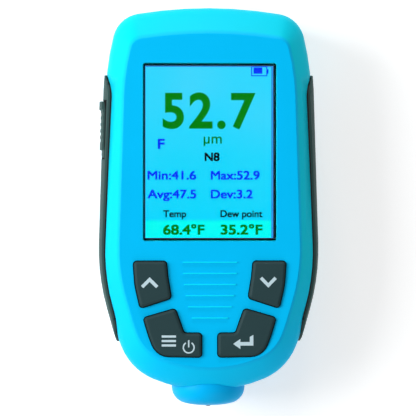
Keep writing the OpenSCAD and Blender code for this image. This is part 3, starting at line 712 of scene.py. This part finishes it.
# left, top, right and base in pixels
chargeShape = {"outline": [(251.4, 66.0, 252.4, 75.6), (251.4, 74.6, 267.6, 75.6), (266.6, 66.0, 267.6, 75.6),
                           (251.4, 65.6, 267.6, 66.4)],
               "nub": (267.6, 68.6, 268.8, 73.0), "charge": (253.8, 66.8, 262.6, 73.0)}


def addChargeMark():  # battery outline, its nub and the charge left
    bm = bmesh.new()
    for left, top, right, base in chargeShape["outline"] + [chargeShape["nub"], chargeShape["charge"]]:
        addFlat(bm, *fromPixel(left, base), *fromPixel(right, top), inkHeight)
    return addPiece("chargeMark", bm, [inks["inkBlue"]], "housing")


addChargeMark()
print("display ready:", len(readings), "readings")

# key symbols: low printed reliefs, placed by pixels as the readings are
symbolLook = {"sunk": 0.01 * mm, "thick": 0.03 * mm}
symbolHeight = keyTopHeight - keyShape["crownDrop"] - symbolLook["sunk"]


def addBar(bm, start, end, width):  # a flat bar between two points
    first = Vector(fromPixel(*start))
    last = Vector(fromPixel(*end))
    run = last - first
    turn = Matrix.Rotation(math.atan2(run.y, run.x), 3, "Z")
    made = bmesh.ops.create_grid(bm, x_segments=1, y_segments=1, size=0.5)["verts"]
    bmesh.ops.scale(bm, vec=(run.length, width, 1), verts=made)
    bmesh.ops.rotate(bm, cent=(0, 0, 0), matrix=turn, verts=made)
    bmesh.ops.translate(bm, vec=((first + last) / 2).to_3d(), verts=made)


def finishSymbol(name, bm, body):
    bmesh.ops.translate(bm, vec=(0, 0, symbolHeight), verts=bm.verts[:])
    bmesh.ops.recalc_face_normals(bm, faces=bm.faces[:])
    for face in bm.faces:
        if face.normal.z < 0:
            face.normal_flip()
    grown = bmesh.ops.extrude_face_region(bm, geom=bm.faces[:], use_keep_orig=True)["geom"]
    lifted = [item for item in grown if isinstance(item, bmesh.types.BMVert)]
    bmesh.ops.translate(bm, vec=(0, 0, symbolLook["thick"]), verts=lifted)
    bmesh.ops.recalc_face_normals(bm, faces=bm.faces[:])
    return addPiece(name, bm, ["keyInk"], body)


chevronShape = {"stroke": 1.0 * mm, "up": [(140.8, 285.6), (149.5, 277.0), (158.2, 285.6)],
                "down": [(259.7, 278.9), (268.2, 287.6), (276.7, 278.9)]}


def addChevron(name, body, left, tip, right):  # two arms of one stroke, with square ends
    bm = bmesh.new()
    arm = (Vector(fromPixel(*tip)) - Vector(fromPixel(*left))).normalized() * chevronShape["stroke"]
    corners = [Vector(fromPixel(*corner)).to_3d() for corner in (left, tip, right)]
    outer = [bm.verts.new(corner) for corner in corners]
    across = Vector((arm.y, -arm.x, 0)) if arm.y > 0 else Vector((-arm.y, arm.x, 0))
    inner = [bm.verts.new(corners[0] + across),
             bm.verts.new(corners[1] + Vector((0, across.y * 2, 0))),
             bm.verts.new(corners[2] + Vector((-across.x, across.y, 0)))]
    bm.faces.new((outer[0], outer[1], inner[1], inner[0]))
    bm.faces.new((outer[1], outer[2], inner[2], inner[1]))
    return finishSymbol(name, bm, body)


addChevron("upMark", "up_key", *chevronShape["up"])
addChevron("downMark", "down_key", *chevronShape["down"])

menuShape = {"rows": (336.3, 340.8, 345.2), "left": 161.5, "right": 175.8, "stroke": 0.66 * mm}


def addMenuMark():  # three lines of a list
    bm = bmesh.new()
    for row in menuShape["rows"]:
        addBar(bm, (menuShape["left"], row), (menuShape["right"], row), menuShape["stroke"])
    return finishSymbol("menuMark", bm, "menu_key")


powerShape = {"middle": (188.5, 347.3), "inner": 1.42 * mm, "outer": 1.84 * mm, "start": 32, "sweep": 296,
              "steps": 28, "barTop": (188.5, 340.0), "barFoot": (188.5, 347.2), "stroke": 0.42 * mm}


def addPowerMark():  # open ring with an upright bar
    bm = bmesh.new()
    inner = bm.verts.new((0.0, powerShape["inner"], 0.0))
    outer = bm.verts.new((0.0, powerShape["outer"], 0.0))
    stroke = bm.edges.new((inner, outer))
    start = Matrix.Rotation(math.radians(powerShape["start"]), 3, "Z")
    bmesh.ops.rotate(bm, cent=(0, 0, 0), matrix=start, verts=[inner, outer])
    bmesh.ops.spin(bm, geom=[inner, outer, stroke], cent=(0, 0, 0), axis=(0, 0, 1),
                   angle=math.radians(powerShape["sweep"]), steps=powerShape["steps"])
    bmesh.ops.translate(bm, vec=(*fromPixel(*powerShape["middle"]), 0), verts=bm.verts[:])
    addBar(bm, powerShape["barTop"], powerShape["barFoot"], powerShape["stroke"])
    return finishSymbol("powerMark", bm, "menu_key")


enterShape = {"outline": [(233.0, 343.8), (240.2, 338.9), (240.2, 341.9), (249.6, 341.9), (249.6, 336.8),
                          (253.2, 334.8), (253.2, 345.5), (240.2, 345.5), (240.2, 348.9)]}


def addEnterMark():  # arrow that turns back to the left
    bm = bmesh.new()
    bm.faces.new([bm.verts.new((*fromPixel(*corner), 0)) for corner in enterShape["outline"]])
    return finishSymbol("enterMark", bm, "enter_key")


addMenuMark()
addPowerMark()
addEnterMark()
print("key symbols ready")

# camera: close above, a little to the left
viewLook = {"distance": 0.70, "left": -0.022, "aim": (0.0, 0.0, 0.0155), "frame": 0.1293, "sensor": 36}
cameraData = bpy.data.cameras.new("camera")
camera = bpy.data.objects.new("camera", cameraData)
scene.collection.objects.link(camera)
aim = Vector(viewLook["aim"])
place = Vector((viewLook["left"], 0.0, viewLook["distance"]))
gaze = (aim - place).normalized()
side = gaze.cross(Vector((0, 1, 0))).normalized()
turned = Matrix((side, side.cross(gaze), -gaze)).transposed()
camera.matrix_world = Matrix.Translation(place) @ turned.to_4x4()
cameraData.sensor_width = viewLook["sensor"]
cameraData.lens = viewLook["sensor"] * (aim - place).length / viewLook["frame"]
scene.camera = camera

# pale floor and soft light from the left, with a weak lamp behind and a fill in front
studio = {"sky": 0.26, "lampAim": (0, 0, 0.02)}
lamps = {
    "keyLamp": {"spot": (-0.62, 0.1, 0.42), "size": (0.5, 0.5), "power": 5.9},
    "rimLamp": {"spot": (0.0, 0.65, 0.18), "size": (0.25, 0.1), "power": 1.9},
    "fillLamp": {"spot": (0.3, -0.78, 0.5), "size": (0.9, 0.7), "power": 2.7},
}
floorLook = {"half": 1.5, "drop": 0.1 * mm, "level": 0.86, "lift": 0.45, "rough": 0.9, "specular": 0.1}


def whiteForEye(tree, strength):  # light that only camera, gloss and glass see
    path = tree.nodes.new("ShaderNodeLightPath")
    seen = mathNode(tree, "MAXIMUM", path.outputs["Is Camera Ray"], path.outputs["Is Glossy Ray"])
    seen = mathNode(tree, "MAXIMUM", seen, path.outputs["Is Transmission Ray"])
    return mathNode(tree, "MULTIPLY", seen, strength)


def buildFloor():
    bm = bmesh.new()
    bmesh.ops.create_grid(bm, x_segments=1, y_segments=1, size=floorLook["half"])
    bmesh.ops.translate(bm, vec=(0, 0, -floorLook["drop"]), verts=bm.verts[:])
    mesh = bpy.data.meshes.new("floor")
    bm.to_mesh(mesh)
    bm.free()
    material = bpy.data.materials.new("paleFloor")
    material.use_nodes = True
    tree = material.node_tree
    shader = tree.nodes["Principled BSDF"]
    level = floorLook["level"]
    shader.inputs["Base Color"].default_value = (level, level, level, 1)
    shader.inputs["Roughness"].default_value = floorLook["rough"]
    shader.inputs["Specular IOR Level"].default_value = floorLook["specular"]
    shader.inputs["Emission Color"].default_value = (1, 1, 1, 1)
    feed(tree, whiteForEye(tree, floorLook["lift"]), shader.inputs["Emission Strength"])
    mesh.materials.append(material)
    floor = bpy.data.objects.new("floor", mesh)
    scene.collection.objects.link(floor)


def addLamp(name, spot, size, power):
    data = bpy.data.lights.new(name, "AREA")
    data.shape = "RECTANGLE"
    data.size, data.size_y = size
    data.energy = power
    lamp = bpy.data.objects.new(name, data)
    scene.collection.objects.link(lamp)
    lamp.location = spot
    gazeLine = Vector(studio["lampAim"]) - Vector(spot)
    lamp.rotation_euler = gazeLine.to_track_quat("-Z", "Y").to_euler()


def buildSky():
    world = bpy.data.worlds.new("studioSky")
    scene.world = world
    world.use_nodes = True
    tree = world.node_tree
    sky = tree.nodes["Background"]
    sky.inputs["Color"].default_value = (1, 1, 1, 1)
    seenWhite = whiteForEye(tree, 1.0 - studio["sky"])
    feed(tree, mathNode(tree, "ADD", seenWhite, studio["sky"]), sky.inputs["Strength"])


buildFloor()
for lampName, lampLook in lamps.items():
    addLamp(lampName, **lampLook)
buildSky()
print("camera and light ready")
